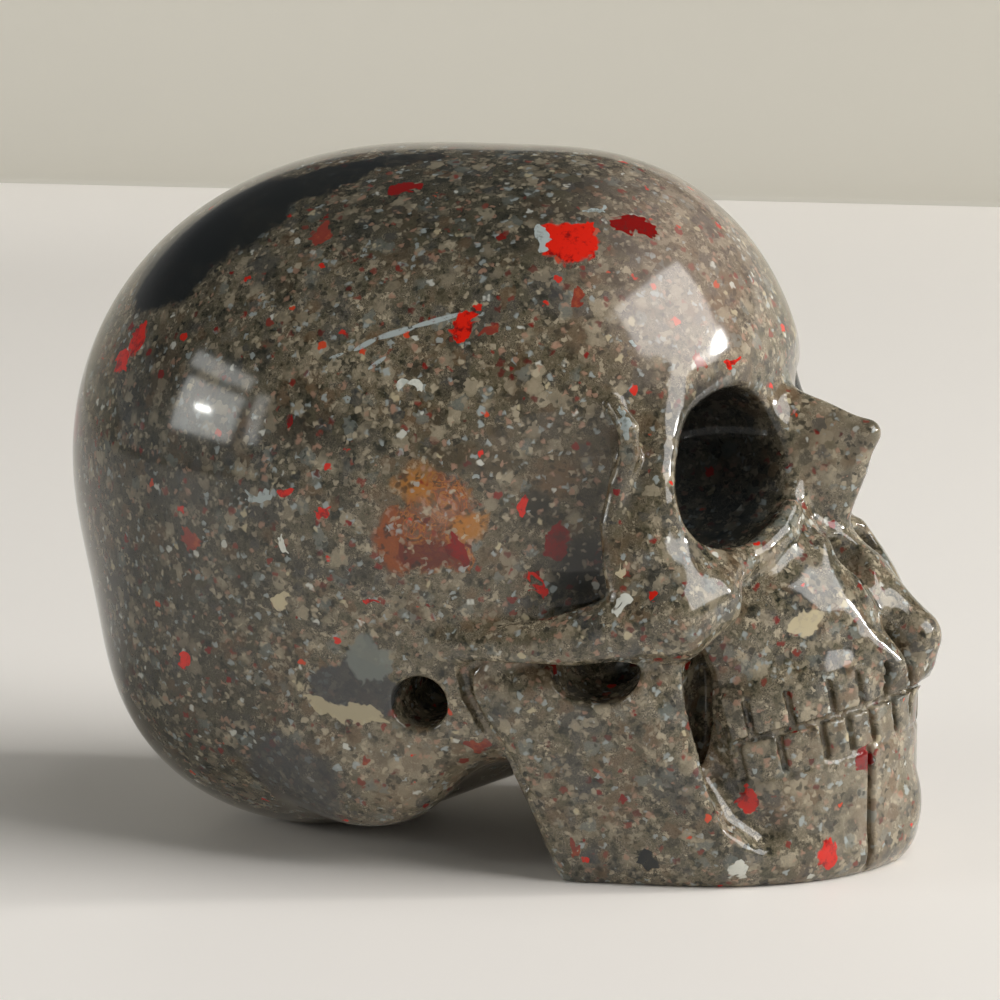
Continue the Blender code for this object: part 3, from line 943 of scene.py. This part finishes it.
def nearest(distances):
    """How far out the point is in the nearest of the marks: 0 in its middle and 1 at its edge."""
    values = [away / edge for away, edge in distances]
    while len(values) > 1:
        pairs = [number("MINIMUM", first, second) for first, second in zip(values[::2], values[1::2])]
        values = pairs + values[2 * len(pairs):]
    return values[0]


def mark_in_picture(point, skull, mark):
    """The mark distance of a mark that is laid on the stone as the photograph shows it."""
    x, y, width, height, tilt = mark
    right, up, back = camera_directions()
    centre, normal = place_in_picture(skull, x, y)
    pixel = (camera_place() / MM - centre).dot(back) / (PIXELS_PER_MM * DISTANCE / MM)
    slant = max(back.dot(normal), STEEPEST)
    axes = []
    for angle, length in ((tilt, width), (tilt + 90, height)):
        angle = math.radians(angle)
        half = (right * math.cos(angle) + up * math.sin(angle)) * (length / 2 * pixel)
        axes.append(half - back * (half.dot(normal) / slant))
    return mark_distance(point, centre, *axes)


def stained(ground, colour, distance, softness, cover):
    """The ground with a mark of this colour on it, by its mark distance."""
    away, edge = distance
    share = fade(away, (1 + softness) * edge, (1 - softness) * edge, cover)
    return painted(ground, colour, share)


def with_marks(ground, marks, point, skull):
    """The ground with marks from the photograph, each with its own colour, softness and cover."""
    for colour, mark, softness, cover in marks:
        ground = stained(ground, colour, mark_in_picture(point, skull, mark), softness, cover)
    return ground


def with_far_patches(ground, point, skull):
    """The ground with the patches of the side that the photograph doesn't show."""
    for colour, azimuth, elevation, half_width, half_height, softness, cover in FAR_PATCHES:
        outward = facing(azimuth, elevation)
        centre = place_from_side(skull, outward)
        sideways = outward.cross(Vector((0, 0, 1))).normalized()
        upwards = outward.cross(sideways)
        distance = mark_distance(point, centre, sideways * half_width, upwards * half_height)
        ground = stained(ground, colour, distance, softness, cover)
    return ground


def with_inclusions(ground, mottle, point, skull):
    """The ground with the inclusions, each in its two colours by the mottle."""
    blotch = fade(mottle, 0.48, 0.64)
    for (colour, second), marks in INCLUSIONS:
        away = nearest([mark_in_picture(point, skull, mark) for mark in marks])
        ground = painted(ground, painted(colour, second, blotch), fade(away, 1.1, 0.94))
    return ground


def stone_colour(point, skull):
    """The bloodstone: a dark mottled ground packed with grains and the marks that lie in it, with
    painted shade in the eye sockets and the temple hollows and a painted sheen on the forehead.

    The marks are drawn at the point moved about in wide waves, in fine ones or in both.
    """
    uneven = shaken(point, 1.1, 1.0)
    rough = shaken(point, 0.26, 0.34)
    tattered = shaken(uneven, 0.3, 0.5)

    mottle = noise(point, 0.8, 5.0, roughness=0.75)
    ground = ramp(mottle, GROUND_TONES)
    hue = noise(uneven, 2.6, 2.0)
    ground = painted(ground, BROWN, fade(hue, 0.52, 0.68, 0.5))
    ground = painted(ground, SLATE, fade(hue, 0.46, 0.32, 0.55))
    ground = with_marks(ground, STAINS, uneven, skull)
    ground = grains(ground, rough, *DEEP_LAYER)

    rust = ramp(noise(tattered, 0.9, 3.0, roughness=0.7), RUST_TONES)
    away = nearest([mark_in_picture(tattered, skull, mark) for mark in RUST_LOBES])
    ground = painted(ground, rust, fade(away, 1.2, 0.85, 0.85))
    # Rust stains, and painted shade in the temple's hollow
    ground = with_marks(ground, RUST_STAINS_AND_HOLLOW_SHADE, tattered, skull)
    for layer in UPPER_LAYERS:
        ground = grains(ground, rough, *layer)

    ground = with_marks(ground, PATCHES, tattered, skull)
    ground = with_far_patches(ground, uneven, skull)
    away = nearest([mark_in_picture(point, skull, mark) for mark in VEIN])
    ground = painted(ground, PALE_BLUE, fade(away, 1.3, 0.8) * fade(mottle, 0.36, 0.5))
    # Painted shade deep in each eye socket, darkest at its middle
    for side in (-1, 1):
        depth = measure("DISTANCE", point, (side * SOCKET_SHADE_MIDDLE[0], SOCKET_SHADE_MIDDLE[1], SOCKET_SHADE_MIDDLE[2]))
        ground = painted(ground, INK, fade(depth, SOCKET_SHADE_EDGE, SOCKET_SHADE_FULL, SOCKET_SHADE_COVER))
    return with_inclusions(ground, mottle, tattered, skull)


def stone_material(skull):
    material = bpy.data.materials.new("Bloodstone")
    material.use_nodes = True
    Field.tree = material.node_tree
    surface = material.node_tree.nodes["Principled BSDF"]
    place = Field(material.node_tree.nodes.new("ShaderNodeTexCoord").outputs["Object"])
    point = vector("MULTIPLY", place, (1 / MM, 1 / MM, 1 / MM))
    colour = stone_colour(point, skull)
    material.node_tree.links.new(colour.socket, surface.inputs["Base Color"])
    surface.inputs["Roughness"].default_value = 0.1
    surface.inputs["IOR"].default_value = 1.54
    return material


def make_skull():
    skull = bpy.data.objects.new("skull_stone", skull_mesh())
    bpy.context.scene.collection.objects.link(skull)
    bpy.context.view_layer.update()
    skull.data.materials.append(stone_material(skull))
    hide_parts("skull")
    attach(skull, "root")


def plain_material(name, colour, roughness):
    material = bpy.data.materials.new(name)
    material.use_nodes = True
    surface = material.node_tree.nodes["Principled BSDF"]
    surface.inputs["Base Color"].default_value = colour
    surface.inputs["Roughness"].default_value = roughness
    return material


# The table, and the wall behind it with a round cove at its foot, in metres and degrees
WALL_DISTANCE = 0.69
WALL_TURN = 16.0
WALL_HEIGHT = 0.2
COVE_RADIUS = 0.05
COVE_STEPS = 12
COVE_START = -0.0002
TABLE_REACH = 2.5
WALL_TONE = tone(210, 206, 195)
TABLE_TONE = tone(252, 248, 243)

# The light in front of the wall: its place from the wall's foot, its slope, size and power
WALL_LIGHT_AWAY = 0.13
WALL_LIGHT_ALONG = -0.8
WALL_LIGHT_HEIGHT = 0.12
WALL_LIGHT_SLOPE = 0.5
WALL_LIGHT_SIZE = (1.6, 0.1)
WALL_POWER = 0.26

# The room's colour at the height of the eye and overhead
ROOM_TONE = (0.42, 0.42, 0.41, 1)
OVERHEAD_TONE = (0.07, 0.07, 0.07, 1)
OVERHEAD = 0.45

# The lights that look at the skull: azimuth, elevation, distance, width, height, watts and colour
DAYLIGHT = (1.0, 0.985, 0.96)
LIGHTS = {
    "Window": (1, 32, 0.9, 0.68, 0.6, 7.0, DAYLIGHT),
    "Low sun": (23, 20, 0.9, 0.07, 0.09, 2.1, (1.0, 0.98, 0.94)),
    "Overhead fill": (0, 62, 0.8, 0.6, 0.6, 1.6, DAYLIGHT),
}
UNSEEN_LIGHT = "Overhead fill"

# A second window, which the stone mirrors: each pane's azimuth, elevation, width, height and glow
PANES = [
    (213, 15.2, 0.28, 0.17, 13.0),
    (212, 26.5, 0.30, 0.05, 11.0),
    (231, 16.5, 0.05, 0.18, 10.0),
    (212, 15.5, 0.07, 0.008, 300.0),
]
PANE_DISTANCE = 0.7
PANE_COLOUR = (0.98, 0.99, 0.95)


def wall_place():
    """The middle of the wall's foot, and the directions along the wall and into it."""
    right, _, back = camera_directions()
    forward = Vector((-back.x, -back.y, 0)).normalized()
    turn = math.radians(WALL_TURN)
    along = right * math.cos(turn) - forward * math.sin(turn)
    away = forward * math.cos(turn) + right * math.sin(turn)
    camera = camera_place()
    return Vector((camera.x, camera.y, 0)) + forward * WALL_DISTANCE, along, away


def add_backdrop():
    """The table, and a wall that rises from it in a round cove."""
    foot, along, away = wall_place()
    profile = [(-COVE_RADIUS, COVE_START)]
    for step in range(COVE_STEPS + 1):
        angle = math.radians(90 * step / COVE_STEPS)
        inward = -COVE_RADIUS + COVE_RADIUS * math.sin(angle)
        profile.append((inward, COVE_RADIUS * (1 - math.cos(angle))))
    profile.append((0, WALL_HEIGHT))
    corners, faces = [], []
    for outward, height in profile:
        for side in (-1, 1):
            place = foot + away * outward + along * side * TABLE_REACH
            corners.append(place + Vector((0, 0, height)))
    for step in range(len(profile) - 1):
        faces.append((2 * step, 2 * step + 1, 2 * step + 3, 2 * step + 2))
    add_stage("Wall", corners, faces, plain_material("Wall paint", WALL_TONE, 0.6))

    signs = ((-1, -1), (1, -1), (1, 1), (-1, 1))
    corners = [(x * TABLE_REACH, y * TABLE_REACH, 0) for x, y in signs]
    add_stage("Table", corners, [(0, 1, 2, 3)], plain_material("Table top", TABLE_TONE, 0.5))


def add_stage(name, corners, faces, material):
    """A mesh that isn't part of the object."""
    mesh = bpy.data.meshes.new(name)
    mesh.from_pydata(corners, [], faces)
    mesh.shade_smooth()
    mesh.materials.append(material)
    piece = bpy.data.objects.new(name, mesh)
    bpy.context.scene.collection.objects.link(piece)


def add_area_light(name, place, backward, width, height, power, colour=(1, 1, 1)):
    """A soft rectangular light at this place. Backward points away from what it shines on."""
    data = bpy.data.lights.new(name, "AREA")
    data.shape = "RECTANGLE"
    data.size = width
    data.size_y = height
    data.energy = power
    data.color = colour
    light = bpy.data.objects.new(name, data)
    light.location = place
    light.rotation_mode = "QUATERNION"
    light.rotation_quaternion = backward.to_track_quat("Z", "Y")
    bpy.context.scene.collection.objects.link(light)
    return light


def add_light(name, azimuth, elevation, distance, width, height, power, colour):
    """A light that looks at the skull."""
    outward = facing(azimuth, elevation)
    place = TARGET + outward * distance
    return add_area_light(name, place, outward, width, height, power, colour)


def add_lights():
    for name, values in LIGHTS.items():
        light = add_light(name, *values)
        light.visible_glossy = name != UNSEEN_LIGHT
    for azimuth, elevation, width, height, glow in PANES:
        power = glow * width * height
        add_light("Pane", azimuth, elevation, PANE_DISTANCE, width, height, power, PANE_COLOUR)


def add_wall_light():
    """A light that shines on the wall alone, away from the skull."""
    foot, along, away = wall_place()
    place = foot - away * WALL_LIGHT_AWAY + along * WALL_LIGHT_ALONG
    place.z = WALL_LIGHT_HEIGHT
    backward = Vector((0, 0, WALL_LIGHT_SLOPE)) - away
    add_area_light("Wall light", place, backward, *WALL_LIGHT_SIZE, WALL_POWER)


def add_world():
    """A pale room that grows darker overhead."""
    world = bpy.data.worlds.new("Room")
    world.use_nodes = True
    Field.tree = world.node_tree
    way = Field(world.node_tree.nodes.new("ShaderNodeTexCoord").outputs["Generated"])
    height = measure("DOT_PRODUCT", way, (0, 0, 1))
    colour = painted(ROOM_TONE, OVERHEAD_TONE, fade(height, 0.0, OVERHEAD))
    world.node_tree.links.new(colour.socket, world.node_tree.nodes["Background"].inputs["Color"])
    bpy.context.scene.world = world


add_world()
add_camera()
add_backdrop()
make_skull()
add_lights()
add_wall_light()

bpy.context.scene.view_settings.view_transform = "Standard"
